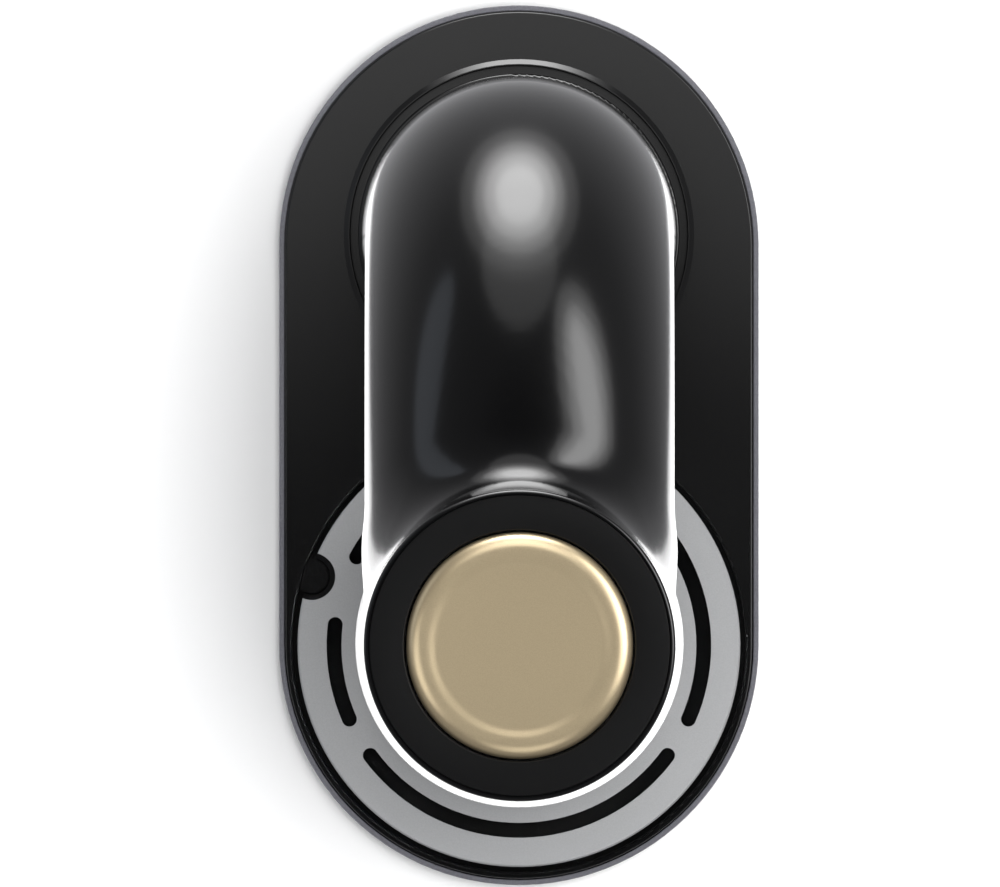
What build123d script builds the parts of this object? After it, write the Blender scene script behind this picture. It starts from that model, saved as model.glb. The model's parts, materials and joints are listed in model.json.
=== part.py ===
from build123d import *
import os

# Countertop sparkling-water maker. Millimetres. Origin: centre of the footprint, on the table.
# +Z up, +Y towards the gas tower at the back, -Y towards the user.

base_r = 65.95
base_arc_y = 55.05
base_bottom = 2.0
base_top = 22.0
wall = 2.5
trim_bottom = 19.9
trim_top = 21.3
trim_r = 64.5
trim_seat_r = 64.2
lip_r = 46.4
lip_top = 23.0

tray_y = -base_arc_y
well_r = 62.3
well_floor = 10.0
key_x = -57.0
key_y = tray_y + 19.0
key_r = 4.6
grille_r = 60.9
basin_floor = 10.3
grille_bottom = 20.0

tower_foot_y = 58.0
tower_foot_r = 43.3
tube_r = 41.2
bend_r = 60.0
bend_y = -3.6
bend_z = 312.6
seam_y = bend_y + bend_r
arm_z = bend_z + bend_r
collar_bottom = 18.0
collar_top = 24.0

head_y = -53.0
head_bottom = 300.0
head_top = 426.0
head_bottom_r = 43.94
head_top_r = 41.3
bezel_r = 39.9
bezel_bottom = 422.0
button_r = 30.0
button_travel = 8.0

gas_y = 57.0
gas_r = 30.0
gas_bottom = 12.0
valve_top = 351.7
lever_pivot_y = 70.0
lever_pivot_z = 364.0
lever_bottom = 360.3
lever_top = 367.0
hose_x = 31.0
hose_z = 355.2

tilt_z = 330.0
socket_bottom = 288.0
socket_top = 318.0
neck_r = 16.2
neck_top = 300.0
bottle_r = 42.2
bottle_bottom = 38.5

cover_pivot_y = 100.0
cover_pivot_z = 26.5
cover_swing_r = 285.8


def on_polar(radius, angles):
    """Locations on a circle of the given radius, one for each angle."""
    return [Location(Vector(radius, 0).rotate(Axis.Z, angle)) for angle in angles]


def disc(radius, low, high, centre=(0, 0), mode=Mode.ADD):
    """A vertical cylinder between two heights."""
    with BuildSketch(Plane.XY.offset(low)) as outline:
        with Locations(centre):
            Circle(radius)
    extrude(outline.sketch, amount=high - low, mode=mode)


def discs(radius, low, high, centres, mode=Mode.ADD):
    """Several equal vertical cylinders."""
    with BuildSketch(Plane.XY.offset(low)) as outline:
        with Locations(*centres):
            Circle(radius)
    extrude(outline.sketch, amount=high - low, mode=mode)


def pill(radius, low, high, mode=Mode.ADD):
    """The base outline, two half circles joined by straight sides."""
    with BuildSketch(Plane.XY.offset(low)) as outline:
        SlotCenterToCenter(2 * base_arc_y, 2 * radius, rotation=90)
    extrude(outline.sketch, amount=high - low, mode=mode)


def cross_rod(radius, centre_y, centre_z, low_x, high_x, mode=Mode.ADD):
    """A cylinder along X."""
    with BuildSketch(Plane.YZ.offset(low_x)) as outline:
        with Locations((centre_y, centre_z)):
            Circle(radius)
    extrude(outline.sketch, amount=high_x - low_x, mode=mode)


def rim(part, radius, height):
    """The circular edges of one radius at one height."""
    return [edge for edge in part.edges().filter_by(GeomType.CIRCLE)
            if abs(edge.radius - radius) < 0.01 and abs(edge.arc_center.Z - height) < 0.01]


def screw(head_r, shank_r, head_z, tip_z):
    """A cross-head screw driven upwards, its head below head_z."""
    with BuildPart() as one:
        disc(head_r, head_z - 2.0, head_z)
        chamfer(one.edges().group_by(Axis.Z)[0], 0.4)
        disc(shank_r, head_z, tip_z)
        chamfer(one.edges().group_by(Axis.Z)[-1], shank_r * 0.5)
        with BuildSketch(Plane.XY.offset(head_z - 2.0)):
            Rectangle(head_r * 1.2, head_r * 0.3)
            Rectangle(head_r * 0.3, head_r * 1.2)
        extrude(amount=1.1, mode=Mode.SUBTRACT)
    return one.part


def copies(shape, centres):
    """The same loose part at several places."""
    for x, y in centres:
        add(shape.moved(Location((x, y, 0))))


def housing_form(inset, low, head_low, head_high, blend):
    """The pipe tower, its elbow, the arm and the round head as one solid, inset from the outside."""
    with BuildPart() as form:
        with BuildSketch(Plane.XY.offset(low)):
            with Locations((0, tower_foot_y)):
                Circle(tower_foot_r - inset)
        with BuildSketch(Plane.XY.offset(bend_z)):
            with Locations((0, seam_y)):
                Circle(tube_r - inset)
        loft()
        with BuildSketch(Plane.XY.offset(bend_z)):
            with Locations((0, seam_y)):
                Circle(tube_r - inset)
        revolve(axis=Axis((0, bend_y, bend_z), (1, 0, 0)), revolution_arc=90)
        with BuildSketch(Plane(origin=(0, bend_y, arm_z), x_dir=(1, 0, 0), z_dir=(0, -1, 0))):
            Circle(tube_r - inset)
        extrude(amount=bend_y - head_y)
        with BuildSketch(Plane.XY.offset(head_low)):
            with Locations((0, head_y)):
                Circle(head_bottom_r - inset)
        with BuildSketch(Plane.XY.offset(head_high)):
            with Locations((0, head_y)):
                Circle(head_top_r - inset)
        loft()
        if blend:
            join = form.edges().filter_by(GeomType.BSPLINE).sort_by(Axis.Y)[0]
            fillet(join, blend)
            fillet(rim(form, head_top_r, head_high), 1.2)
            fillet(rim(form, head_bottom_r, head_low), 0.8)
    return form.part


def mid_region(gap):
    """Everything in front of and below the middle of the pipe, less a gap."""
    with BuildPart() as region:
        with BuildSketch(Plane.YZ):
            with BuildLine():
                Line((-120, 0), (seam_y - gap, 0))
                Line((seam_y - gap, 0), (seam_y - gap, bend_z))
                CenterArc((bend_y, bend_z), bend_r - gap, 0, 90)
                Line((bend_y, arm_z - gap), (-120, arm_z - gap))
                Line((-120, arm_z - gap), (-120, 0))
            make_face()
        extrude(amount=80, both=True)
    return region.part


os.makedirs("parts", exist_ok=True)

# ---- base ----

side_bosses = [(54, 0), (-54, 0), (42, 93), (-42, 93)]
front_bosses = [(35, -95), (-35, -95)]
foot_centres = [(40, 75), (-40, 75), (40, -75), (-40, -75)]
tower_boss_angles = [200, 245, 295, 340]
tower_bosses = [
    (loc.position.X, loc.position.Y + tower_foot_y) for loc in on_polar(36.4, tower_boss_angles)
]

with BuildPart() as base_housing:
    pill(trim_seat_r, base_bottom, base_top)
    fillet(base_housing.edges().group_by(Axis.Z)[-1], 0.5)
    pill(base_r, base_bottom, trim_bottom)
    chamfer(base_housing.edges().group_by(Axis.Z)[0], 0.8)
    pill(base_r - wall, base_bottom, base_top - wall, Mode.SUBTRACT)
    disc(63.6, well_floor - wall, base_top, (0, tray_y))
    disc(49.5, 12.0, base_top, (0, tower_foot_y))
    with Locations((0, tower_foot_y, base_top)):
        Cone(lip_r + 1.8, lip_r + 0.5, lip_top - base_top, align=(Align.CENTER, Align.CENTER, Align.MIN))
    discs(4.0, 4.6, base_top - wall, side_bosses)
    discs(4.0, 4.6, well_floor - wall, front_bosses)
    with BuildSketch(Plane.XY.offset(10.0)):
        with Locations((0, 3), (30, 3), (-30, 3)):
            Rectangle(2.0, 16.0)
    extrude(amount=base_top - wall - 10.0)
    disc(well_r, well_floor, base_top, (0, tray_y), Mode.SUBTRACT)
    fillet(rim(base_housing, well_r, base_top), 0.6)
    disc(lip_r, collar_bottom, lip_top, (0, tower_foot_y), Mode.SUBTRACT)
    fillet(rim(base_housing, lip_r, lip_top), 0.25)
    disc(33.2, 0, collar_bottom, (0, tower_foot_y - 1.0), Mode.SUBTRACT)
    discs(1.55, 4.0, 17.0, side_bosses, Mode.SUBTRACT)
    discs(1.55, 4.0, 9.2, front_bosses, Mode.SUBTRACT)
    discs(1.6, 10.0, collar_bottom, tower_bosses, Mode.SUBTRACT)
    disc(key_r, well_floor - 1.0, base_top - 0.6, (key_x, key_y))
base_housing.part.label = "base_housing"
export_step(base_housing.part, "parts/base_housing.step")

with BuildPart() as base_trim:
    pill(base_r, trim_bottom, trim_top)
    pill(trim_r, trim_bottom, trim_top, Mode.SUBTRACT)
    fillet(base_trim.edges().group_by(Axis.Z)[-1], 0.3)
base_trim.part.label = "base_trim"
export_step(base_trim.part, "parts/base_trim.step")

with BuildPart() as base_bottom_plate:
    pill(base_r - wall - 0.2, base_bottom, 4.5)
    discs(8.2, base_bottom, 3.2, foot_centres, Mode.SUBTRACT)
    discs(3.1, base_bottom, 4.1, side_bosses + front_bosses, Mode.SUBTRACT)
    discs(1.6, base_bottom, 4.5, side_bosses + front_bosses, Mode.SUBTRACT)
    with BuildSketch(Plane.XY.offset(base_bottom)):
        with GridLocations(9.0, 0, 5, 1):
            SlotOverall(20.0, 3.0, rotation=90)
    extrude(amount=4.5 - base_bottom, mode=Mode.SUBTRACT)
base_bottom_plate.part.label = "base_bottom_plate"
export_step(base_bottom_plate.part, "parts/base_bottom_plate.step")

with BuildPart() as rubber_feet:
    discs(8.0, 0, 3.2, foot_centres)
    fillet(rubber_feet.edges().group_by(Axis.Z)[0], 0.7)
rubber_feet.part.label = "rubber_feet"
export_step(rubber_feet.part, "parts/rubber_feet.step")

with BuildPart() as base_screws:
    copies(screw(2.9, 1.5, 4.1, 16.5), side_bosses)
    copies(screw(2.9, 1.5, 4.1, 9.0), front_bosses)
base_screws.part.label = "base_screws"
export_step(base_screws.part, "parts/base_screws.step")

with BuildPart() as cylinder_cup:
    disc(32.0, 4.5, 15.0, (0, gas_y))
    disc(30.5, 6.0, 15.0, (0, gas_y), Mode.SUBTRACT)
    chamfer(cylinder_cup.edges().group_by(Axis.Z)[-1], 0.5)
cylinder_cup.part.label = "cylinder_cup"
export_step(cylinder_cup.part, "parts/cylinder_cup.step")

with BuildPart() as tower_collar:
    disc(44.2, collar_bottom, collar_top, (0, tower_foot_y))
    disc(40.4, collar_bottom, collar_top, (0, tower_foot_y), Mode.SUBTRACT)
    fillet(rim(tower_collar, 44.2, collar_top), 0.7)
    with BuildSketch(Plane.XY.offset(collar_bottom)):
        with Locations((0, 96.6)):
            Rectangle(18.0, 5.2)
    extrude(amount=collar_top - collar_bottom)
    with BuildSketch(Plane.XY.offset(collar_bottom)):
        with Locations((0, 95.2)):
            Rectangle(18.0, 2.4)
    extrude(amount=30.0 - collar_bottom)
tower_collar.part.label = "tower_collar"
export_step(tower_collar.part, "parts/tower_collar.step")

with BuildPart() as tower_screws:
    copies(screw(3.0, 1.5, 12.0, 30.0), tower_bosses)
tower_screws.part.label = "tower_screws"
export_step(tower_screws.part, "parts/tower_screws.step")

# ---- drip tray ----

slot_mid_r = 50.85
slot_width = 4.1
inner_slot_r = 28.0

with BuildPart() as drip_grille:
    disc(grille_r, grille_bottom, base_top, (0, tray_y))
    chamfer(drip_grille.edges().group_by(Axis.Z)[-1], 0.4)
    disc(59.2, 17.0, grille_bottom, (0, tray_y))
    disc(57.4, 17.0, grille_bottom, (0, tray_y), Mode.SUBTRACT)
    with BuildSketch(Plane.XY.offset(grille_bottom)):
        with Locations((0, tray_y)):
            SlotArc(CenterArc((0, 0), slot_mid_r, 216.5, 107.0), slot_width)
            SlotArc(CenterArc((0, 0), slot_mid_r, -23.5, 107.0), slot_width)
            SlotArc(CenterArc((0, 0), slot_mid_r, 96.5, 54.9), slot_width)
            SlotArc(CenterArc((0, 0), slot_mid_r, 173.5, 30.0), slot_width)
            for start in (30, 150, 270):
                SlotArc(CenterArc((0, 0), inner_slot_r, start + 7, 106.0), slot_width)
    extrude(amount=base_top - grille_bottom, mode=Mode.SUBTRACT)
    disc(key_r + 1.9, 10.0, base_top, (key_x, key_y), Mode.SUBTRACT)
    with BuildSketch(Plane.XY.offset(17.0)):
        with Locations((key_x, key_y)):
            Circle(key_r + 2.6)
    extrude(amount=grille_bottom - 17.0, mode=Mode.SUBTRACT)
drip_grille.part.label = "drip_grille"
export_step(drip_grille.part, "parts/drip_grille.step")

with BuildPart() as drip_basin:
    disc(60.9, basin_floor, grille_bottom, (0, tray_y))
    chamfer(drip_basin.edges().group_by(Axis.Z)[0], 1.0)
    disc(59.3, basin_floor + 1.5, grille_bottom, (0, tray_y), Mode.SUBTRACT)
    with BuildSketch(Plane.XY.offset(basin_floor + 1.0)):
        with Locations((key_x, key_y)):
            Circle(key_r + 2.1)
        with Locations((0, tray_y)):
            Circle(60.5, mode=Mode.INTERSECT)
    extrude(amount=grille_bottom - basin_floor - 1.0)
    disc(key_r + 0.5, basin_floor, grille_bottom, (key_x, key_y), Mode.SUBTRACT)
drip_basin.part.label = "drip_basin"
export_step(drip_basin.part, "parts/drip_basin.step")

# ---- housing ----

outer_form = housing_form(0, collar_top, head_bottom, head_top, 12.0)
boss_form = housing_form(1.3, collar_bottom, head_bottom, head_top, 0)
cavity_form = housing_form(wall, collar_bottom - 4, head_bottom - 4, head_top + 4, 0)
bridge_form = housing_form(wall + 0.3, collar_bottom, head_bottom, head_top, 0)
barrel_bosses = [(loc.position.X, loc.position.Y + head_y) for loc in on_polar(36.8, [210, 270, 330])]
bridge_screws = [(29.0, 38.0), (-29.0, 38.0)]
bridge_bottom = 330.0
bridge_top = 336.0

with BuildPart() as housing_shell:
    add(outer_form)
    add(cavity_form, mode=Mode.SUBTRACT)
    disc(40.0, bezel_bottom, head_top + 1, (0, head_y), Mode.SUBTRACT)

with BuildPart() as lower_bosses:
    discs(5.2, collar_top, 36.0, tower_bosses)
    discs(7.2, 320.0, bridge_bottom, bridge_screws)
    discs(4.0, 360.0, arm_z, barrel_bosses)
    cross_rod(7.0, head_y, tilt_z, -43.0, -36.5)
    cross_rod(7.0, head_y, tilt_z, 36.5, 43.0)
    with BuildSketch(Plane.XY.offset(286.0)):
        with Locations((35.8, 52.9), (-35.8, 52.9)):
            Rectangle(8.0, 7.0)
    extrude(amount=14.0)
    add(boss_form, mode=Mode.INTERSECT)

with BuildPart() as lower_housing:
    add(housing_shell.part)
    add(lower_bosses.part)
    discs(3.4, collar_bottom, collar_top + 1, tower_bosses)
    add(mid_region(0.1), mode=Mode.INTERSECT)
    discs(1.55, collar_bottom, 31.0, tower_bosses, Mode.SUBTRACT)
    discs(1.55, 322.0, bridge_bottom, bridge_screws, Mode.SUBTRACT)
    discs(1.6, 360.0, arm_z, barrel_bosses, Mode.SUBTRACT)
    discs(3.2, 340.0, 362.4, barrel_bosses, Mode.SUBTRACT)
    cross_rod(4.05, head_y, tilt_z, -40.6, 40.6, Mode.SUBTRACT)
    with BuildSketch(Plane.XZ.offset(-seam_y)):
        with Locations((35.4, 293.0), (-35.4, 293.0)):
            Circle(2.05)
    extrude(amount=2.4, mode=Mode.SUBTRACT)
lower_housing.part.label = "lower_housing"
export_step(lower_housing.part, "parts/lower_housing.step")

with BuildPart() as upper_bosses:
    discs(4.0, arm_z, 386.0, barrel_bosses)
    add(boss_form, mode=Mode.INTERSECT)

with BuildPart() as upper_housing:
    add(housing_shell.part)
    add(upper_bosses.part)
    add(mid_region(-0.1), mode=Mode.SUBTRACT)
    cross_rod(cover_swing_r + 0.2, cover_pivot_y, cover_pivot_z, -60, 60, Mode.SUBTRACT)
    discs(1.55, arm_z, 384.0, barrel_bosses, Mode.SUBTRACT)
upper_housing.part.label = "upper_housing"
export_step(upper_housing.part, "parts/upper_housing.step")

with BuildPart() as housing_screws:
    copies(screw(2.9, 1.5, 362.4, 383.5), barrel_bosses)
housing_screws.part.label = "housing_screws"
export_step(housing_screws.part, "parts/housing_screws.step")

with BuildPart() as cover_limits:
    cross_rod(cover_swing_r - 0.2, cover_pivot_y, cover_pivot_z, -60, 60)
    with BuildSketch(Plane.XY.offset(25.0)):
        Rectangle(200, 300)
    extrude(amount=300, mode=Mode.INTERSECT)

with BuildPart() as cover_pads:
    with BuildSketch(Plane.XY.offset(286.0)):
        with Locations((35.8, 60.2), (-35.8, 60.2)):
            Rectangle(8.0, 7.0)
    extrude(amount=14.0)
    add(boss_form, mode=Mode.INTERSECT)

with BuildPart() as rear_cover:
    add(housing_shell.part)
    add(cover_pads.part)
    add(mid_region(-0.3), mode=Mode.SUBTRACT)
    add(cover_limits.part, mode=Mode.INTERSECT)
    with BuildSketch(Plane.XZ.offset(-seam_y - 0.3)):
        with Locations((35.4, 293.0), (-35.4, 293.0)):
            Circle(2.05)
    extrude(amount=-2.4, mode=Mode.SUBTRACT)
rear_cover.part.label = "rear_cover"
export_step(rear_cover.part, "parts/rear_cover.step")

with BuildPart() as tower_magnets:
    with BuildSketch(Plane.XZ.offset(-seam_y + 0.2)):
        with Locations((35.4, 293.0), (-35.4, 293.0)):
            Circle(2.0)
    extrude(amount=2.0)
tower_magnets.part.label = "tower_magnets"
export_step(tower_magnets.part, "parts/tower_magnets.step")

with BuildPart() as cover_magnets:
    with BuildSketch(Plane.XZ.offset(-seam_y - 0.4)):
        with Locations((35.4, 293.0), (-35.4, 293.0)):
            Circle(2.0)
    extrude(amount=-2.0)
cover_magnets.part.label = "cover_magnets"
export_step(cover_magnets.part, "parts/cover_magnets.step")

# ---- push button ----

with BuildPart() as head_bezel:
    disc(bezel_r, bezel_bottom, head_top - 0.2, (0, head_y))
    disc(button_r + 0.6, bezel_bottom, head_top, (0, head_y), Mode.SUBTRACT)
    chamfer(head_bezel.edges().group_by(Axis.Z)[-1], 0.3)
head_bezel.part.label = "head_bezel"
export_step(head_bezel.part, "parts/head_bezel.step")

with BuildPart() as button_guide:
    disc(34.0, 393.0, bezel_bottom, (0, head_y))
    disc(32.0, 396.0, bezel_bottom, (0, head_y), Mode.SUBTRACT)
    with BuildSketch(Plane.XY.offset(bezel_bottom - 3.0)):
        with Locations((0, head_y)):
            Circle(37.0)
            Circle(32.0, mode=Mode.SUBTRACT)
    extrude(amount=3.0)
    disc(8.0, 382.0, 404.0, (0, head_y))
    disc(5.05, 380.0, 406.0, (0, head_y), Mode.SUBTRACT)
    with BuildSketch(Plane.XY.offset(393.0)):
        with Locations((0, head_y)):
            with PolarLocations(20.0, 6):
                Circle(5.0)
    extrude(amount=3.0, mode=Mode.SUBTRACT)
button_guide.part.label = "button_guide"
export_step(button_guide.part, "parts/button_guide.step")

with BuildPart() as button_cap:
    with BuildSketch(Plane.YZ):
        with BuildLine():
            Line((0, 427.4), (22.6, 427.4))
            Spline((22.6, 427.4), (24.4, 427.9), (26.6, 428.5), (28.6, 427.9), (button_r, 425.6),
                   tangents=((1, 0), (0, -1)))
            Line((button_r, 425.6), (button_r, 413.0))
            Line((button_r, 413.0), (button_r - 1.8, 413.0))
            Line((button_r - 1.8, 413.0), (button_r - 1.8, 424.6))
            Line((button_r - 1.8, 424.6), (0, 424.6))
            Line((0, 424.6), (0, 427.4))
        make_face()
    revolve(axis=Axis.Z)
button_cap.part = button_cap.part.moved(Location((0, head_y, 0)))
button_cap.part.label = "button_cap"
export_step(button_cap.part, "parts/button_cap.step")

with BuildPart() as button_stem:
    disc(5.0, lever_top + 0.3, 424.6, (0, head_y))
    disc(7.5, 421.6, 424.6, (0, head_y))
    fillet(button_stem.edges().group_by(Axis.Z)[0], 2.0)
button_stem.part.label = "button_stem"
export_step(button_stem.part, "parts/button_stem.step")

with BuildPart() as button_spring:
    with BuildLine() as coil:
        Helix(pitch=5.0, height=26.0, radius=10.0)
    with BuildSketch(Plane(origin=coil.line @ 0, z_dir=coil.line % 0)):
        Circle(0.8)
    sweep(path=coil.line)
button_spring.part = button_spring.part.moved(Location((0, head_y, 397.2)))
button_spring.part.label = "button_spring"
export_step(button_spring.part, "parts/button_spring.step")

# ---- gas valve, lever and cylinder ----

seat_screw_places = [(19.0, 46.0), (-19.0, 46.0), (19.0, 68.0), (-19.0, 68.0)]

with BuildPart() as valve_bridge:
    add(bridge_form)
    with BuildSketch(Plane.XY.offset(bridge_bottom)):
        with Locations((0, 44.0)):
            Rectangle(100, 76.0)
    extrude(amount=bridge_top - bridge_bottom, mode=Mode.INTERSECT)
    disc(16.3, bridge_bottom, bridge_top, (0, gas_y), Mode.SUBTRACT)
    discs(1.6, bridge_bottom, bridge_top, bridge_screws, Mode.SUBTRACT)
    discs(1.55, bridge_bottom, bridge_top, seat_screw_places, Mode.SUBTRACT)
    disc(11.0, bridge_bottom, bridge_top, (0, 24.0), Mode.SUBTRACT)
valve_bridge.part.label = "valve_bridge"
export_step(valve_bridge.part, "parts/valve_bridge.step")

with BuildPart() as bridge_screw_pair:
    copies(screw(2.9, 1.5, 0, 13.0), [(0, 0)])
screw_down = bridge_screw_pair.part.rotate(Axis.X, 180)

with BuildPart() as bridge_screw_set:
    for x, y in bridge_screws:
        add(screw_down.moved(Location((x, y, bridge_top))))
bridge_screw_set.part.label = "bridge_screws"
export_step(bridge_screw_set.part, "parts/bridge_screws.step")

with BuildPart() as cylinder_seat:
    disc(16.0, bridge_bottom, bridge_top, (0, gas_y))
    disc(25.0, bridge_top, bridge_top + 3.5, (0, gas_y))
    disc(13.4, bridge_top + 3.5, 358.5, (0, gas_y))
    chamfer(cylinder_seat.edges().group_by(Axis.Z)[-1], 0.8)
    disc(10.55, bridge_bottom, 352.0, (0, gas_y), Mode.SUBTRACT)
    disc(9.0, 352.0, 353.4, (0, gas_y), Mode.SUBTRACT)
    disc(1.6, 352.0, 358.5, (0, gas_y), Mode.SUBTRACT)
    discs(1.6, bridge_top, bridge_top + 3.5, seat_screw_places, Mode.SUBTRACT)
    cross_rod(1.5, gas_y, hose_z, 0, 20, Mode.SUBTRACT)
cylinder_seat.part.label = "cylinder_seat"
export_step(cylinder_seat.part, "parts/cylinder_seat.step")

with BuildPart() as seat_screws:
    for x, y in seat_screw_places:
        add(screw_down.moved(Location((x, y, bridge_top + 3.5))))
seat_screws.part.label = "seat_screws"
export_step(seat_screws.part, "parts/seat_screws.step")

with BuildPart() as seat_gasket:
    disc(8.9, 352.0, 353.4, (0, gas_y))
    disc(3.0, 352.0, 353.4, (0, gas_y), Mode.SUBTRACT)
seat_gasket.part.label = "seat_gasket"
export_step(seat_gasket.part, "parts/seat_gasket.step")

with BuildPart() as lever_bracket:
    for low_x in (-14.0, 11.0):
        with BuildSketch(Plane.YZ.offset(low_x)):
            with Locations((lever_pivot_y, lever_pivot_z)):
                Circle(4.5)
            with Locations((lever_pivot_y, 0.5 * (bridge_top + 3.5 + lever_pivot_z))):
                Rectangle(9.0, lever_pivot_z - bridge_top - 3.5)
        extrude(amount=3.0)
    with BuildSketch(Plane.XY.offset(bridge_top + 3.5)):
        with Locations((0, 73.5)):
            Rectangle(28.0, 2.0)
    extrude(amount=16.0)
    cross_rod(2.0, lever_pivot_y, lever_pivot_z, -15, 15, Mode.SUBTRACT)
lever_bracket.part.label = "lever_bracket"
export_step(lever_bracket.part, "parts/lever_bracket.step")

with BuildPart() as lever_pin:
    cross_rod(1.95, lever_pivot_y, lever_pivot_z, -15.0, 15.0)
    cross_rod(3.2, lever_pivot_y, lever_pivot_z, -16.2, -14.2)
    cross_rod(3.2, lever_pivot_y, lever_pivot_z, 14.2, 16.2)
lever_pin.part.label = "lever_pin"
export_step(lever_pin.part, "parts/lever_pin.step")

with BuildPart() as valve_lever:
    with BuildSketch(Plane.XY.offset(lever_bottom)):
        with BuildLine():
            Polyline((-8, 74), (8, 74), (8, 40), (6, 10), (6, head_y), (-6, head_y), (-6, 10),
                     (-8, 40), (-8, 74))
        make_face()
        with Locations((0, head_y)):
            Circle(8.0)
    extrude(amount=lever_top - lever_bottom)
    with BuildSketch(Plane.XY.offset(lever_bottom + 3.0)):
        with Locations((0, 5)):
            SlotOverall(80.0, 7.0, rotation=90)
    extrude(amount=lever_top - lever_bottom - 3.0, mode=Mode.SUBTRACT)
    cross_rod(3.6, lever_pivot_y, lever_pivot_z, -10.6, 10.6)
    cross_rod(2.0, lever_pivot_y, lever_pivot_z, -11, 11, Mode.SUBTRACT)
valve_lever.part.label = "valve_lever"
export_step(valve_lever.part, "parts/valve_lever.step")

with BuildPart() as valve_pin:
    disc(1.5, 330.0, lever_bottom - 0.3, (0, gas_y))
    disc(2.6, 328.0, 330.0, (0, gas_y))
    fillet(valve_pin.edges().group_by(Axis.Z)[-1], 0.5)
valve_pin.part.label = "valve_pin"
export_step(valve_pin.part, "parts/valve_pin.step")

with BuildPart() as co2_cylinder:
    with BuildSketch(Plane.YZ):
        with BuildLine():
            Line((0, gas_bottom), (gas_r - 5, gas_bottom))
            RadiusArc((gas_r - 5, gas_bottom), (gas_r, gas_bottom + 5), -5)
            Line((gas_r, gas_bottom + 5), (gas_r, 288))
            Spline((gas_r, 288), (27.2, 302), (19.5, 311), (14.5, 314), tangents=((0, 1), (-1, 0.4)))
            Line((14.5, 314), (14.5, 322))
            Line((14.5, 322), (8.0, 322))
            Line((8.0, 322), (8.0, 308))
            Spline((8.0, 308), (17.5, 306), (24.0, 299), (gas_r - 3.4, 286), tangents=((1, 0), (0, -1)))
            Line((gas_r - 3.4, 286), (gas_r - 3.4, gas_bottom + 8))
            Line((gas_r - 3.4, gas_bottom + 8), (gas_r - 8, gas_bottom + 3.4))
            Line((gas_r - 8, gas_bottom + 3.4), (0, gas_bottom + 3.4))
            Line((0, gas_bottom + 3.4), (0, gas_bottom))
        make_face()
    revolve(axis=Axis.Z)
co2_cylinder.part = co2_cylinder.part.moved(Location((0, gas_y, 0)))
co2_cylinder.part.label = "co2_cylinder"
export_step(co2_cylinder.part, "parts/co2_cylinder.step")

with BuildPart() as co2_valve_body:
    disc(7.9, 306.0, 322.0, (0, gas_y))
    with BuildSketch(Plane.XY.offset(322.0)):
        with Locations((0, gas_y)):
            RegularPolygon(13.5, 6, major_radius=False)
    extrude(amount=6.0)
    disc(10.5, 328.0, valve_top, (0, gas_y))
    chamfer(co2_valve_body.edges().group_by(Axis.Z)[-1], 0.8)
    disc(3.0, 318.0, 340.0, (0, gas_y), Mode.SUBTRACT)
    disc(1.55, 340.0, valve_top, (0, gas_y), Mode.SUBTRACT)
    disc(2.0, 306.0, 318.0, (0, gas_y), Mode.SUBTRACT)
co2_valve_body.part.label = "co2_valve_body"
export_step(co2_valve_body.part, "parts/co2_valve_body.step")

# ---- gas feed to the head ----

with BuildPart() as hose_fittings:
    cross_rod(3.2, gas_y, hose_z, 14.1, 33.0)
    with BuildSketch(Plane.XZ.offset(-gas_y)):
        with Locations((hose_x, hose_z)):
            Circle(1.5)
    extrude(amount=13.0)
hose_fittings.part.label = "hose_fittings"
export_step(hose_fittings.part, "parts/hose_fittings.step")

with BuildPart() as gas_hose:
    with BuildLine(Plane.YZ.offset(hose_x)) as route:
        Line((gas_y - 3.4, hose_z), (head_y + 9.0, hose_z))
        CenterArc((head_y + 9.0, hose_z - 9.0), 9.0, 90, 90)
        Line((head_y, hose_z - 9.0), (head_y, tilt_z + 4.4))
    with BuildSketch(Plane(origin=route.line @ 0, z_dir=route.line % 0)):
        Circle(2.5)
    sweep(path=route.line)
    with BuildSketch(Plane(origin=route.line @ 0, z_dir=route.line % 0)):
        Circle(1.55)
    sweep(path=route.line, mode=Mode.SUBTRACT)
gas_hose.part.label = "gas_hose"
export_step(gas_hose.part, "parts/gas_hose.step")

with BuildPart() as tilt_trunnions:
    cross_rod(4.0, head_y, tilt_z, -40.4, -21.5)
    cross_rod(4.0, head_y, tilt_z, 21.5, 40.4)
    disc(1.5, tilt_z, 345.0, (hose_x, head_y))
    cross_rod(1.0, head_y, tilt_z, 21.5, hose_x, Mode.SUBTRACT)
    disc(0.8, tilt_z, 345.0, (hose_x, head_y), Mode.SUBTRACT)
tilt_trunnions.part.label = "tilt_trunnions"
export_step(tilt_trunnions.part, "parts/tilt_trunnions.step")

# ---- tilting head and bottle ----

socket_screw_places = [(0, head_y - 15.5), (0, head_y + 15.5), (15.5, head_y), (-15.5, head_y)]

with BuildPart() as head_bottom_ring:
    disc(41.1, 300.4, 303.0, (0, head_y))
    with BuildSketch(Plane.XY.offset(300.4)):
        with Locations((0, head_y - 4.5)):
            SlotCenterToCenter(9.0, 61.4, rotation=90)
    extrude(amount=2.6, mode=Mode.SUBTRACT)
head_bottom_ring.part.label = "head_bottom_ring"
export_step(head_bottom_ring.part, "parts/head_bottom_ring.step")

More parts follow.
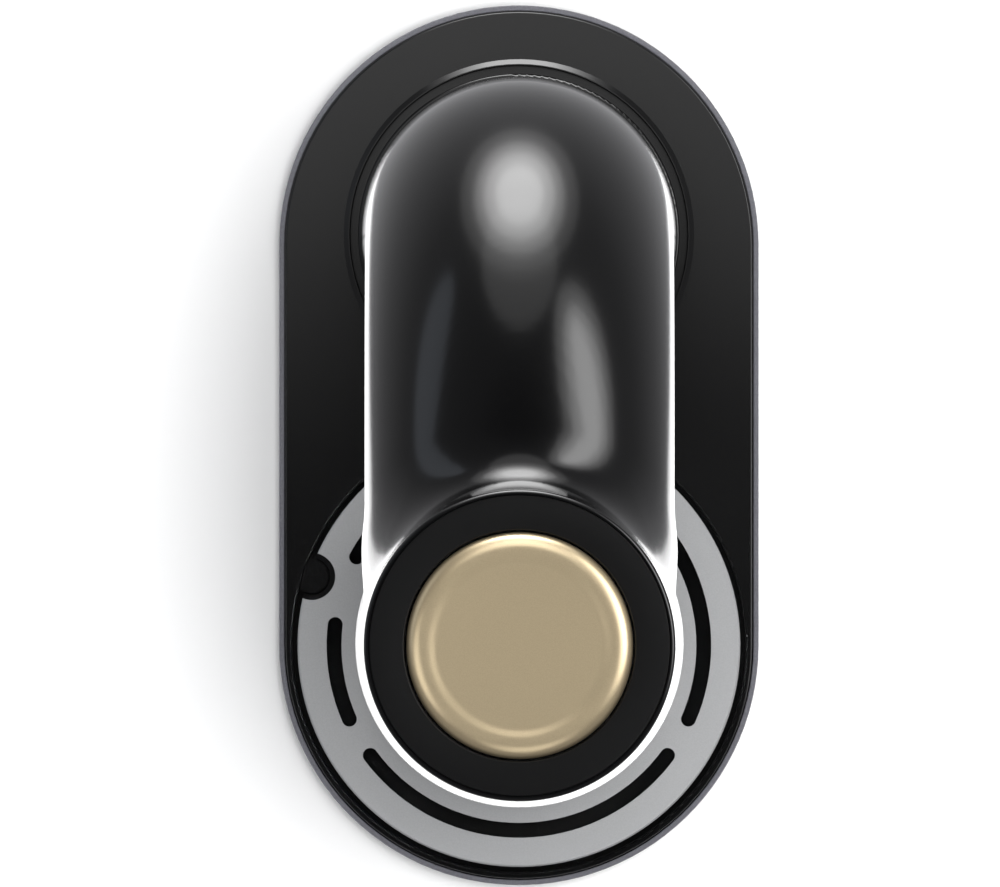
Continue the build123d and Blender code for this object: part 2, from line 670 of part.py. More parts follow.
with BuildPart() as nozzle_block:
    disc(20.0, socket_top, 342.0, (0, head_y))
    fillet(nozzle_block.edges().group_by(Axis.Z)[-1], 2.0)
    cross_rod(8.0, head_y, tilt_z, -27.5, 27.5)
    cross_rod(4.05, head_y, tilt_z, -30.0, -20.8, Mode.SUBTRACT)
    cross_rod(4.05, head_y, tilt_z, 20.8, 30.0, Mode.SUBTRACT)
    cross_rod(1.5, head_y, tilt_z, 0, 22.0, Mode.SUBTRACT)
    disc(1.5, socket_top, tilt_z, (0, head_y), Mode.SUBTRACT)
    discs(1.55, socket_top, 326.0, socket_screw_places, Mode.SUBTRACT)
    with BuildSketch(Plane.XZ.offset(-head_y - 22.0)):
        with Locations((0, 336.0)):
            Circle(4.05)
    extrude(amount=10.0, mode=Mode.SUBTRACT)
nozzle_block.part.label = "nozzle_block"
export_step(nozzle_block.part, "parts/nozzle_block.step")

with BuildPart() as pressure_relief_valve:
    with BuildSketch(Plane.XZ.offset(-head_y - 12.2)):
        with Locations((0, 336.0)):
            Circle(4.0)
    extrude(amount=-9.0)
    with BuildSketch(Plane.XZ.offset(-head_y - 21.2)):
        with Locations((0, 336.0)):
            RegularPolygon(5.5, 6, major_radius=False)
    extrude(amount=-5.0)
pressure_relief_valve.part.label = "pressure_relief_valve"
export_step(pressure_relief_valve.part, "parts/pressure_relief_valve.step")

with BuildPart() as bottle_socket:
    disc(30.0, socket_bottom, socket_top, (0, head_y))
    fillet(bottle_socket.edges().group_by(Axis.Z)[0], 1.2)
    disc(27.6, socket_bottom, 314.0, (0, head_y), Mode.SUBTRACT)
    disc(20.0, socket_bottom, 314.5, (0, head_y))
    disc(neck_r + 0.3, socket_bottom, 306.0, (0, head_y), Mode.SUBTRACT)
    disc(4.05, 306.0, socket_top, (0, head_y), Mode.SUBTRACT)
    discs(1.6, 306.0, socket_top, socket_screw_places, Mode.SUBTRACT)
    discs(3.0, 306.0, 311.0, socket_screw_places, Mode.SUBTRACT)
bottle_socket.part.label = "bottle_socket"
export_step(bottle_socket.part, "parts/bottle_socket.step")

with BuildPart() as socket_screws:
    copies(screw(2.8, 1.5, 311.0, 325.0), socket_screw_places)
socket_screws.part.label = "socket_screws"
export_step(socket_screws.part, "parts/socket_screws.step")

with BuildPart() as bottle_seal:
    disc(neck_r + 0.2, neck_top + 0.3, 306.0, (0, head_y))
    disc(8.5, neck_top + 0.3, 306.0, (0, head_y), Mode.SUBTRACT)
    chamfer(rim(bottle_seal, 8.5, neck_top + 0.3), 1.0)
bottle_seal.part.label = "bottle_seal"
export_step(bottle_seal.part, "parts/bottle_seal.step")

with BuildPart() as carbonation_nozzle:
    disc(4.0, 296.0, socket_top, (0, head_y))
    disc(6.5, 303.0, 306.0, (0, head_y))
    disc(2.6, 216.0, 296.0, (0, head_y))
    disc(1.0, 216.0, socket_top, (0, head_y), Mode.SUBTRACT)
    chamfer(rim(carbonation_nozzle, 2.6, 216.0), 0.8)
carbonation_nozzle.part.label = "carbonation_nozzle"
export_step(carbonation_nozzle.part, "parts/carbonation_nozzle.step")

with BuildPart() as bottle:
    with BuildSketch(Plane.YZ):
        with BuildLine():
            Line((0, 42.5), (24, bottle_bottom))
            Line((24, bottle_bottom), (bottle_r - 8, bottle_bottom))
            RadiusArc((bottle_r - 8, bottle_bottom), (bottle_r, bottle_bottom + 8), -8)
            Line((bottle_r, bottle_bottom + 8), (bottle_r, 205))
            Spline((bottle_r, 205), (39.2, 228), (27.5, 254), (18.5, 270), (neck_r, 282),
                   tangents=((0, 1), (0, 1)))
            Line((neck_r, 282), (19.2, 283.6))
            Line((19.2, 283.6), (19.2, 286.4))
            Line((19.2, 286.4), (neck_r, 287))
            Line((neck_r, 287), (neck_r, neck_top))
            Line((neck_r, neck_top), (neck_r - 2.2, neck_top))
            Line((neck_r - 2.2, neck_top), (neck_r - 2.2, 281))
            Spline((neck_r - 2.2, 281), (16.6, 269), (25.9, 253), (37.7, 227), (bottle_r - 1.5, 204),
                   tangents=((0, -1), (0, -1)))
            Line((bottle_r - 1.5, 204), (bottle_r - 1.5, bottle_bottom + 8))
            RadiusArc((bottle_r - 1.5, bottle_bottom + 8), (bottle_r - 8, bottle_bottom + 1.5), 6.5)
            Line((bottle_r - 8, bottle_bottom + 1.5), (24.3, bottle_bottom + 1.5))
            Line((24.3, bottle_bottom + 1.5), (0, 44.0))
            Line((0, 44.0), (0, 42.5))
        make_face()
    revolve(axis=Axis.Z)
bottle.part = bottle.part.moved(Location((0, head_y, 0)))
bottle.part.label = "bottle"
export_step(bottle.part, "parts/bottle.step")

with BuildPart() as bottle_base_cup:
    disc(43.6, 36.0, 58.0, (0, head_y))
    fillet(bottle_base_cup.edges().group_by(Axis.Z)[0], 2.0)
    disc(bottle_r + 0.05, bottle_bottom, 58.0, (0, head_y), Mode.SUBTRACT)
    chamfer(bottle_base_cup.edges().group_by(Axis.Z)[-1], 0.4)
bottle_base_cup.part.label = "bottle_base_cup"
export_step(bottle_base_cup.part, "parts/bottle_base_cup.step")
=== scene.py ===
import bpy, bmesh, json, math
import numpy as np
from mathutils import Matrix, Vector


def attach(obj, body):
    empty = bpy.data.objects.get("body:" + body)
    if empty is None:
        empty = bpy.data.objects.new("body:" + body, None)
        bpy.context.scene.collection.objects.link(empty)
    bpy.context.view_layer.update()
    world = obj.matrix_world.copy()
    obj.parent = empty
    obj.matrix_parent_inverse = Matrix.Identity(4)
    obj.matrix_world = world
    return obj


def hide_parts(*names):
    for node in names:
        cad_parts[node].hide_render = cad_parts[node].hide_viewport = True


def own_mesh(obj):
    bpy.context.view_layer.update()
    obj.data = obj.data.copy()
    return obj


# countertop sparkling-water maker: metres, +Z up, tower towards +Y, user towards -Y

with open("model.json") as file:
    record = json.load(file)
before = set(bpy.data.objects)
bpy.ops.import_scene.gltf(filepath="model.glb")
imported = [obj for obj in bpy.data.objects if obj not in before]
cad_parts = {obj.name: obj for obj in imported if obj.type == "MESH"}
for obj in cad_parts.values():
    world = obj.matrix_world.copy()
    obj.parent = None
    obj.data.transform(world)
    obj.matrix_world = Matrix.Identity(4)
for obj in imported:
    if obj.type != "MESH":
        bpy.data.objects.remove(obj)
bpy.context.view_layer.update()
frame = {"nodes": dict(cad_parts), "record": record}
nodes = frame["nodes"]
scene = bpy.context.scene
mm = 0.001
print("frame loaded", len(nodes), "nodes")


class Wire:
    # one output that can be used in sums; every operator adds a Math node
    def __init__(self, bench, socket):
        self.bench = bench
        self.socket = socket

    def maths(self, operation, *values):
        return self.bench.node("ShaderNodeMath", {"operation": operation}, dict(enumerate(values)))

    def __add__(self, other):
        return self.maths("ADD", self, other)

    def __radd__(self, other):
        return self.maths("ADD", other, self)

    def __sub__(self, other):
        return self.maths("SUBTRACT", self, other)

    def __rsub__(self, other):
        return self.maths("SUBTRACT", other, self)

    def __mul__(self, other):
        return self.maths("MULTIPLY", self, other)

    def __rmul__(self, other):
        return self.maths("MULTIPLY", other, self)


class Bench:
    # the nodes of a material or a world, with one way to add to them
    def __init__(self, owner, shader="Principled BSDF"):
        owner.use_nodes = True
        self.owner = owner
        self.tree = owner.node_tree
        self.shader = self.tree.nodes[shader]

    def node(self, kind, settings=None, values=None, out=0):
        made = self.tree.nodes.new(kind)
        for key, setting in (settings or {}).items():
            if key == "stops":
                ramp = made.color_ramp
                while len(ramp.elements) < len(setting):
                    ramp.elements.new(0.5)
                for element, (position, colour) in zip(ramp.elements, setting):
                    element.position = position
                    element.color = colour
            else:
                setattr(made, key, setting)
        for key, value in (values or {}).items():
            self.feed(made.inputs[key], value)
        return Wire(self, made.outputs[out])

    def feed(self, socket, value):
        if isinstance(value, Wire):
            self.tree.links.new(value.socket, socket)
        else:
            socket.default_value = value

    def place(self):
        return self.node("ShaderNodeTexCoord", out="Object")

    def noise(self, scale, detail, stretch=(1, 1, 1)):
        spot = self.node("ShaderNodeMapping", {}, {"Vector": self.place(), "Scale": stretch})
        return self.node("ShaderNodeTexNoise", {}, {"Vector": spot, "Scale": scale, "Detail": detail})

    def blend(self, mask, first, second):
        return self.node("ShaderNodeMix", {"data_type": "RGBA"}, {0: mask, 6: first, 7: second}, out=2)

    def clamp(self, value, low, high):
        return self.node("ShaderNodeMapRange", {}, {0: value, 1: low, 2: high, 3: 0.0, 4: 1.0})

    def bump(self, height, strength, distance):
        self.set(Normal=self.node("ShaderNodeBump", {}, {"Height": height, "Strength": strength,
                                                         "Distance": distance}))

    def set(self, **inputs):
        for key, value in inputs.items():
            self.feed(self.shader.inputs[key.replace("_", " ")], value)


def rgb(red, green, blue):
    return (red, green, blue, 1.0)


finish = {
    "blackGloss": rgb(0.0008, 0.0008, 0.0009), "blackSatin": rgb(0.0011, 0.0011, 0.0012),
    "graphite": rgb(0.10, 0.10, 0.115),
    "drip": rgb(0.40, 0.404, 0.41), "champagne": rgb(0.47, 0.382, 0.245),
    "innerGrey": rgb(0.11, 0.11, 0.115),
    "rubber": rgb(0.008, 0.008, 0.008), "rubberDust": rgb(0.022, 0.022, 0.021),
    "clear": rgb(0.93, 0.96, 0.97), "clearHaze": rgb(0.85, 0.89, 0.9),
    "steel": rgb(0.55, 0.55, 0.56), "brass": rgb(0.62, 0.44, 0.19),
    "cylinderPaint": rgb(0.42, 0.44, 0.47), "hose": rgb(0.62, 0.62, 0.58),
}


def glossPlastic(name, colour, roughness, smear):
    # moulded high-gloss plastic: faint wiping smears and a very shallow orange peel
    bench = Bench(bpy.data.materials.new(name))
    wiped = bench.clamp(bench.noise(11.0, 4.0, (1, 1, 0.35)), 0.42, 0.68)
    dust = bench.clamp(bench.noise(900.0, 2.0), 0.70, 0.80)
    bench.set(Base_Color=bench.blend(dust * 0.35, colour, rgb(*[c * 2.0 + 0.0006 for c in colour[:3]])),
              Roughness=roughness + wiped * smear + dust * 0.06)
    bench.bump(bench.noise(160.0, 2.0), 0.05, 0.00004)
    return bench.owner


def satinPlastic(name, colour, roughness, grain=1700.0, depth=0.00006):
    # fine spark-eroded texture, with slightly polished high spots
    bench = Bench(bpy.data.materials.new(name))
    speck = bench.noise(grain, 3.0)
    cloud = bench.noise(24.0, 3.0)
    bench.set(Base_Color=bench.blend(bench.clamp(speck, 0.35, 0.7), rgb(*[c * 0.85 for c in colour[:3]]),
                                     rgb(*[c * 1.15 for c in colour[:3]])),
              Roughness=roughness + cloud * 0.08 - speck * 0.05)
    bench.bump(speck, 0.35, depth)
    return bench.owner


def satinMetal(name, colour, roughness, metallic, grain=2600.0, depth=0.00003, stretch=(1, 1, 1)):
    # bead-blasted or brushed metal: tiny grain in colour, roughness and relief
    bench = Bench(bpy.data.materials.new(name))
    speck = bench.noise(grain, 3.0, stretch)
    cloud = bench.noise(16.0, 4.0)
    bench.set(Base_Color=bench.blend(bench.clamp(speck, 0.3, 0.7), rgb(*[c * 0.94 for c in colour[:3]]),
                                     rgb(*[min(1.0, c * 1.05) for c in colour[:3]])),
              Roughness=roughness + cloud * 0.06 + speck * 0.05)
    bench.set(Metallic=metallic)
    bench.bump(speck, 0.25, depth)
    return bench.owner


def rubberCompound(name):
    bench = Bench(bpy.data.materials.new(name))
    powder = bench.noise(320.0, 4.0)
    bench.set(Base_Color=bench.blend(powder, finish["rubber"], finish["rubberDust"]),
              Roughness=0.68 + powder * 0.2)
    bench.bump(bench.noise(1400.0, 2.0), 0.4, 0.00008)
    return bench.owner


def clearBottle(name):
    # thin blown plastic: nearly clear, with a faint waviness
    bench = Bench(bpy.data.materials.new(name))
    wave = bench.noise(26.0, 2.0, (1, 1, 0.3))
    haze = bench.clamp(bench.noise(60.0, 3.0), 0.45, 0.8)
    bench.set(Base_Color=bench.blend(haze, finish["clear"], finish["clearHaze"]),
              Roughness=0.03 + haze * 0.05)
    bench.set(Transmission_Weight=1.0, IOR=1.45)
    bench.bump(wave, 0.2, 0.0003)
    return bench.owner


look = {
    "black_gloss": glossPlastic("black gloss shell", finish["blackGloss"], 0.17, 0.03),
    "black_satin": satinPlastic("black satin plastic", finish["blackSatin"], 0.42),
    "graphite_trim": satinPlastic("graphite trim", finish["graphite"], 0.45),
    "grey_plastic": satinPlastic("inner grey plastic", finish["innerGrey"], 0.5),
    "foot_rubber": rubberCompound("foot rubber"),
    "seal_rubber": rubberCompound("seal rubber"),
    "steel": satinMetal("plated steel", finish["steel"], 0.26, 1.0, 900.0, 0.00002, (1, 1, 0.2)),
    "grille_steel": satinMetal("satin drip metal", finish["drip"], 0.52, 0.35),
    "champagne_metal": satinMetal("champagne button metal", finish["champagne"], 0.27, 0.85, 3600.0,
                                  0.000006),
    "brass": satinMetal("turned brass", finish["brass"], 0.24, 1.0, 700.0, 0.00002, (0.2, 0.2, 1)),
    "cylinder_paint": satinMetal("cylinder paint", finish["cylinderPaint"], 0.36, 0.3, 1200.0, 0.00003),
    "clear_plastic": clearBottle("clear bottle plastic"),
    "hose_plastic": satinPlastic("hose plastic", finish["hose"], 0.45, 900.0),
}
slotOf = {row["node"]: row["material_slot"] for row in frame["record"]["subparts"]}


def dress(thing, slotName, smoothUnder=32.0):
    thing.data.materials.clear()
    thing.data.materials.append(look[slotName])
    for polygon in thing.data.polygons:
        polygon.use_smooth = True
    thing.data.set_sharp_from_angle(angle=math.radians(smoothUnder))
    return thing


for name, thing in nodes.items():
    dress(thing, slotOf[name])
print("finishes made", len(look))


def addPiece(name, mesh, body, slotName, *stoodFor):
    thing = bpy.data.objects.new(name, mesh)
    scene.collection.objects.link(thing)
    dress(thing, slotName)
    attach(thing, body)
    if stoodFor:
        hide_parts(*stoodFor)
    return thing


def roundCorner(before, corner, after, radius, steps):
    # points of an arc that rounds one corner of a profile
    corner, before, after = (Vector((*p, 0)) for p in (corner, before, after))
    inward, onward = (before - corner).normalized(), (after - corner).normalized()
    half = inward.angle(onward) / 2
    reach = radius / math.tan(half)
    centre = corner + (inward + onward).normalized() * (radius / math.sin(half))
    start, end = corner + inward * reach - centre, corner + onward * reach - centre
    sweep = math.atan2(start.cross(end).z, start.dot(end))
    points = []
    for step in range(steps + 1):
        turn = sweep * step / steps
        spin = Vector((start.x * math.cos(turn) - start.y * math.sin(turn),
                       start.x * math.sin(turn) + start.y * math.cos(turn), 0))
        points.append((centre.x + spin.x, centre.y + spin.y))
    return points


def softProfile(corners, steps=6):
    # corners are (radius from axis, height, rounding); a closed outline comes back
    outline = []
    for index, (r, z, rounding) in enumerate(corners):
        if rounding == 0:
            outline.append((r, z))
            continue
        before, after = corners[index - 1][:2], corners[(index + 1) % len(corners)][:2]
        outline += roundCorner(before, (r, z), after, rounding, steps)
    return outline


def lathe(name, outline, centreY, segments=256):
    # closed ring or solid of revolution about a vertical axis; outline in millimetres
    made = bmesh.new()
    rings = []
    for r, z in outline:
        if r < 1e-6:
            rings.append([made.verts.new((0, centreY * mm, z * mm))])
            continue
        rings.append([made.verts.new((r * mm * math.cos(2 * math.pi * s / segments),
                                      (centreY + r * math.sin(2 * math.pi * s / segments)) * mm, z * mm))
                      for s in range(segments)])
    for here, there in zip(rings, rings[1:] + rings[:1]):
        if len(here) == 1 and len(there) == 1:
            continue
        for s in range(segments):
            t = (s + 1) % segments
            quad = [here[s % len(here)], here[t % len(here)], there[t % len(there)], there[s % len(there)]]
            corners = [v for i, v in enumerate(quad) if v not in quad[:i]]
            made.faces.new(corners)
    bmesh.ops.recalc_face_normals(made, faces=made.faces)
    mesh = bpy.data.meshes.new(name)
    made.to_mesh(mesh)
    made.free()
    return mesh


housing = {
    "towerFoot": (58.0, 24.0, 43.3), "towerTop": (56.4, 312.6, 41.2),  # centre y, height, radius
    "tubeR": 41.2, "bendR": 60.0, "bendY": -3.6, "bendZ": 312.6,
    "headY": -53.0, "headLow": (300.0, 43.94), "headHigh": (426.0, 41.3),
    "blendTop": 17.0, "blendUnder": 14.0, "blendRise": 30.0, "blendLeast": 0.1, "wall": 2.5, "voxel": 1.5,
    "rimFade": 3.0, "sideFrom": 7.0, "sideFade": 24.0, "farthest": 9.0,
    "runDown": 12.0, "barrelUnder": 8.0, "barrelOver": 6.0,
    "rimFrom": 424.4, "rimSoft": 1.25, "bezelR": 39.95,
    "coverLow": 25.0, "coverPivot": (100.0, 26.5), "coverSwing": 285.8,
    "gap": 0.15, "coverGap": 0.30, "swingGap": 0.20, "frontFrom": 3.0, "sharpFrom": 40.0,
}


def pipeDistance(p):
    # signed distance from the bent tube, in millimetres
    h = housing
    x, y, z = p[:, 0], p[:, 1], p[:, 2]
    (footY, footZ, footR), (topY, topZ, topR) = h["towerFoot"], h["towerTop"]
    along = (z - footZ) / (topZ - footZ)
    tower = np.hypot(x, y - (footY + (topY - footY) * along)) - (footR + (topR - footR) * along)
    reach = np.hypot(y - h["bendY"], z - h["bendZ"])
    bend = np.hypot(x, reach - h["bendR"]) - h["tubeR"]
    arm = np.maximum(np.hypot(x, z - h["bendZ"] - h["bendR"]) - h["tubeR"], h["headY"] - y)
    return np.where(z < h["bendZ"], np.where(y > h["bendY"], tower, arm), np.where(y > h["bendY"], bend, arm))


def headDistance(p):
    # signed distance from the head barrel
    h = housing
    (lowZ, lowR), (highZ, highR) = h["headLow"], h["headHigh"]
    radius = lowR + (highR - lowR) * (p[:, 2] - lowZ) / (highZ - lowZ)
    return np.hypot(p[:, 0], p[:, 1] - h["headY"]) - radius


def formDistance(p):
    # smooth union; the blend dies out just under the rim so that the rim stays round
    h = housing
    pipe, head = pipeDistance(p), headDistance(p)
    armZ = h["bendZ"] + h["bendR"]
    rise = np.clip((p[:, 2] - armZ) / h["blendRise"], 0, 1)
    room = np.clip((h["rimFrom"] - p[:, 2]) / h["rimFade"], 0, 1)
    reach = (h["blendUnder"] + (h["blendTop"] - h["blendUnder"]) * rise) * (0.05 + 0.95 * room)
    behind = np.clip((p[:, 1] - h["headY"] - h["sideFrom"]) / h["sideFade"], 0, 1)
    reach = reach * behind ** 2 * (3 - 2 * behind)
    reach = np.maximum(np.where(p[:, 2] > h["rimFrom"], h["blendLeast"], reach), h["blendLeast"])
    overlap = np.maximum(reach - np.abs(pipe - head), 0)
    return np.minimum(pipe, head) - overlap ** 2 / (4 * reach)


def slopeOf(field, p, step=0.05):
    # which way, and how fast, a field grows at each point
    slope = np.zeros_like(p)
    for axis in range(3):
        shift = np.zeros(3)
        shift[axis] = step
        slope[:, axis] = (field(p + shift) - field(p - shift)) / (2 * step)
    return slope


def settle(p, field, rounds=8):
    # moves points along the slope until they lie on the form
    for _ in range(rounds):
        value, slope = field(p), slopeOf(field, p)
        pull = value / np.maximum((slope ** 2).sum(1), 0.05)
        p = p - slope * np.clip(pull, -2.5, 2.5)[:, None]
    return p


def tubeAlong(path, segments=96):
    # closed tube through (centre, up, radius) stations, in millimetres
    made = bmesh.new()
    rings = []
    for centre, up, radius in path:
        rings.append([made.verts.new(Vector(centre) + Vector((1, 0, 0)) * radius * math.cos(a)
                                     + Vector(up) * radius * math.sin(a))
                      for a in [2 * math.pi * s / segments for s in range(segments)]])
    for here, there in zip(rings, rings[1:]):
        for s in range(segments):
            t = (s + 1) % segments
            made.faces.new([here[s], here[t], there[t], there[s]])
    made.faces.new(rings[0])
    made.faces.new(rings[-1][::-1])
    bmesh.ops.recalc_face_normals(made, faces=made.faces)
    return made


def formBlank():
    # tower and arm, and the head barrel, each run past its end, fused by a voxel remesh
    h = housing
    (footY, footZ, footR), (topY, topZ, topR) = h["towerFoot"], h["towerTop"]
    slope = (topY - footY) / (topZ - footZ)
    stations = [((0, footY - slope * h["runDown"], footZ - h["runDown"]), (0, 1, 0), footR)]
    stations += [((0, footY + (topY - footY) * t, footZ + (topZ - footZ) * t), (0, 1, 0),
                  footR + (topR - footR) * t) for t in np.linspace(0, 1, 12)]
    for turn in np.linspace(0, math.pi / 2, 25)[1:]:
        out = (0, math.cos(turn), math.sin(turn))
        stations.append(((0, h["bendY"] + h["bendR"] * out[1], h["bendZ"] + h["bendR"] * out[2]), out,
                         h["tubeR"]))
    stations.append(((0, h["headY"], h["bendZ"] + h["bendR"]), (0, 0, 1), h["tubeR"]))
    blank = tubeAlong(stations)
    (lowZ, lowR), (highZ, highR) = h["headLow"], h["headHigh"]
    flare = (highR - lowR) / (highZ - lowZ)
    barrel = tubeAlong([((0, h["headY"], z), (0, 1, 0), lowR + flare * (z - lowZ))
                        for z in np.linspace(lowZ - h["barrelUnder"], highZ + h["barrelOver"], 12)])
    mesh = bpy.data.meshes.new("blank")
    barrel.to_mesh(mesh)
    blank.from_mesh(mesh)
    blank.to_mesh(mesh)
    blank.free()
    barrel.free()
    thing = bpy.data.objects.new("blank", mesh)
    scene.collection.objects.link(thing)
    fuse = thing.modifiers.new("fuse", "REMESH")
    fuse.mode = "VOXEL"
    fuse.voxel_size = h["voxel"]
    fuse.adaptivity = 0.0
    evaluated = thing.evaluated_get(bpy.context.evaluated_depsgraph_get())
    fused = bpy.data.meshes.new_from_object(evaluated)
    bpy.data.objects.remove(thing)
    spots = np.empty(len(fused.vertices) * 3)
    fused.vertices.foreach_get("co", spots)
    spots = spots.reshape(-1, 3)
    settled = settle(spots, formDistance)
    moved = np.linalg.norm(settled - spots, axis=1)
    spots = np.where((moved < h["farthest"])[:, None], settled, spots)
    fused.vertices.foreach_set("co", spots.ravel())
    print("housing form", len(fused.vertices), "points")
    return fused


def cutAt(made, field, keepAbove):
    # cuts the mesh where field is zero and drops one side; real places are kept in a layer
    home = made.verts.layers.float_vector.get("home") or made.verts.layers.float_vector.new("home")
    spots = np.array([v.co for v in made.verts])
    values = field(spots)
    for vertex, spot, value in zip(made.verts, spots, values):
        vertex[home] = spot
        vertex.co = (spot[0], spot[1] - spot[2], value)
    everything = list(made.verts) + list(made.edges) + list(made.faces)
    bmesh.ops.bisect_plane(made, geom=everything, dist=1e-4, plane_co=(0, 0, 0), plane_no=(0, 0, 1),
                           clear_inner=keepAbove, clear_outer=not keepAbove)
    for vertex in made.verts:
        vertex.co = vertex[home]


def middleField(p):
    # distance outwards from the middle of the pipe: behind the tower, above the arm
    h = housing
    seamY, armZ = h["bendY"] + h["bendR"], h["bendZ"] + h["bendR"]
    bend = np.hypot(p[:, 1] - h["bendY"], p[:, 2] - h["bendZ"]) - h["bendR"]
    behind, above = p[:, 1] - seamY, p[:, 2] - armZ
    return np.where(p[:, 1] <= h["bendY"], above, np.where(p[:, 2] <= h["bendZ"], behind, bend))


def swingField(p):
    # distance outwards from the arc that the top of the rear cover swings along
    pivotY, pivotZ = housing["coverPivot"]
    return np.hypot(p[:, 1] - pivotY, p[:, 2] - pivotZ) - housing["coverSwing"]


def shellFrom(skin, name, cuts):
    # the skin of one moulded shell, cut to its seams; thicken later gives it its wall and softened edges
    made = bmesh.new()
    made.from_mesh(skin)
    for field, keepAbove in cuts:
        cutAt(made, field, keepAbove)
    loose = [v for v in made.verts if not v.link_faces]
    bmesh.ops.delete(made, geom=loose, context="VERTS")
    bmesh.ops.remove_doubles(made, verts=made.verts, dist=0.02)
    bmesh.ops.recalc_face_normals(made, faces=made.faces)
    made.verts.layers.float_vector.remove(made.verts.layers.float_vector["home"])
    for vertex in made.verts:
        vertex.co *= mm
    mesh = bpy.data.meshes.new(name)
    made.to_mesh(mesh)
    made.free()
    return mesh


def thicken(thing, width, edge=0.00028):
    # gives a skin its wall, inwards, and softens the cut edges
    wall = thing.modifiers.new("wall", "SOLIDIFY")
    wall.thickness = width
    wall.offset = -1.0
    wall.use_even_offset = True
    wall.use_rim = True
    soften = thing.modifiers.new("edge", "BEVEL")
    soften.width = edge
    soften.segments = 2
    soften.limit_method = "ANGLE"
    soften.angle_limit = math.radians(50)
    evaluated = thing.evaluated_get(bpy.context.evaluated_depsgraph_get())
    final = bpy.data.meshes.new_from_object(evaluated)
    thing.modifiers.clear()
    thing.data = final
    return thing


def orientOutwards(mesh):
    # the skin's normals point away from the pipe's own middle line
    spots = np.array([p.center for p in mesh.polygons]) / mm
    normals = np.array([p.normal for p in mesh.polygons])
    nearby = 0.3
    ahead = formDistance(spots + normals * nearby) - formDistance(spots)
    if (ahead > 0).mean() < 0.5:
        mesh.flip_normals()


def housingShells():
    h = housing
    skin = formBlank()
    top = lambda p: p[:, 2] - h["rimFrom"]
    bottom = lambda p: p[:, 2] - np.where(p[:, 1] > h["frontFrom"], h["towerFoot"][1], h["headLow"][0])
    inner = lambda p: middleField(p) + h["gap"]
    outer = lambda p: middleField(p) - h["gap"]
    coverSeam = lambda p: middleField(p) - h["coverGap"]
    coverFoot = lambda p: p[:, 2] - h["coverLow"]
    coverTop = lambda p: swingField(p) + h["swingGap"]
    upperFoot = lambda p: swingField(p) - h["swingGap"]
    for name, body, cuts, node in (
            ("lower_shell", "body", [(top, False), (bottom, True), (inner, False)], "lower_housing"),
            ("upper_shell", "body", [(top, False), (outer, True), (upperFoot, True)], "upper_housing"),
            ("back_shell", "back_cover", [(coverSeam, True), (coverFoot, True), (coverTop, False)],
             "rear_cover")):
        mesh = shellFrom(skin, name, cuts)
        orientOutwards(mesh)
        shell = thicken(addPiece(name, mesh, body, "black_gloss", node), h["wall"] * mm)
        dress(shell, "black_gloss", h["sharpFrom"])
        print(name, len(shell.data.polygons), "faces")


housingShells()


def headRim():
    # the turned rim at the top of the head, which carries on from the upper shell
    h = housing
    (lowZ, lowR), (highZ, highR) = h["headLow"], h["headHigh"]
    at = lambda z: lowR + (highR - lowR) * (z - lowZ) / (highZ - lowZ)
    outline = softProfile([(h["bezelR"], h["rimFrom"], 0), (at(h["rimFrom"]), h["rimFrom"], 0),
                           (highR, highZ, h["rimSoft"]), (h["bezelR"], highZ, 0)], 8)
    addPiece("head_rim", lathe("head_rim", outline, h["headY"], 384), "body", "black_gloss")


headRim()


button = {"y": -53.0, "r": 30.0, "crownR": 25.2, "dishR": 21.5, "flatR": 11.55, "top": 428.5, "dish": 428.0,
          "drop": 3.6, "skirt": 413.0, "hem": 4.0, "lid": 4.0, "wall": 1.8, "hole": 30.6,
          "bezelR": 39.9, "bezelTop": 425.8, "bezelLow": 422.0, "seatR": 38.6, "bezelStep": 424.45}


def buttonCap():
    b = button
    outline = [(0, b["dish"]), (b["flatR"], b["dish"])]
    steps = 24
    for step in range(steps + 1):  # from the dish up over the rounded crown
        t = step / steps
        r = b["dishR"] + (b["crownR"] - b["dishR"]) * t
        outline.append((r, b["dish"] + (b["top"] - b["dish"]) * (t * t * (3 - 2 * t))))
    for step in range(1, steps + 1):  # from the crown down to the side, a quarter of an ellipse
        a = math.pi / 2 * step / steps
        r = b["crownR"] + (b["r"] - b["crownR"]) * math.sin(a)
        outline.append((r, b["top"] - b["drop"] * (1 - math.cos(a))))
    inside, roof = b["r"] - b["wall"], b["top"] - b["lid"]
    outline += softProfile([(b["r"], b["skirt"] + b["hem"], 0), (b["r"], b["skirt"], 0.4),
                            (inside, b["skirt"], 0.4), (inside, roof, 1.0), (0, roof, 0)], 4)
    addPiece("button_face", lathe("button_face", outline, b["y"], 384), "button", "champagne_metal",
             "button_cap")
    ring = softProfile([(b["hole"], b["bezelLow"], 0), (b["seatR"], b["bezelLow"], 0),
                        (b["seatR"], b["bezelStep"], 0), (b["bezelR"], b["bezelStep"], 0),
                        (b["bezelR"], b["bezelTop"], 0.35), (b["hole"], b["bezelTop"], 0.45)], 5)
    addPiece("bezel_ring", lathe("bezel_ring", ring, b["y"], 384), "body", "black_satin", "head_bezel")


buttonCap()


def springCoil():
    # the coil under the button, copied with a mesh of its own; the real coil shortens as the button goes
    # down, but nothing here shortens this copy
    held = nodes["button_spring"]
    mesh = held.data.copy()
    mesh.transform(held.matrix_world)
    thing = addPiece("spring_coil", mesh, "body", "steel", "button_spring")
    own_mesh(thing)


springCoil()
print("head made")


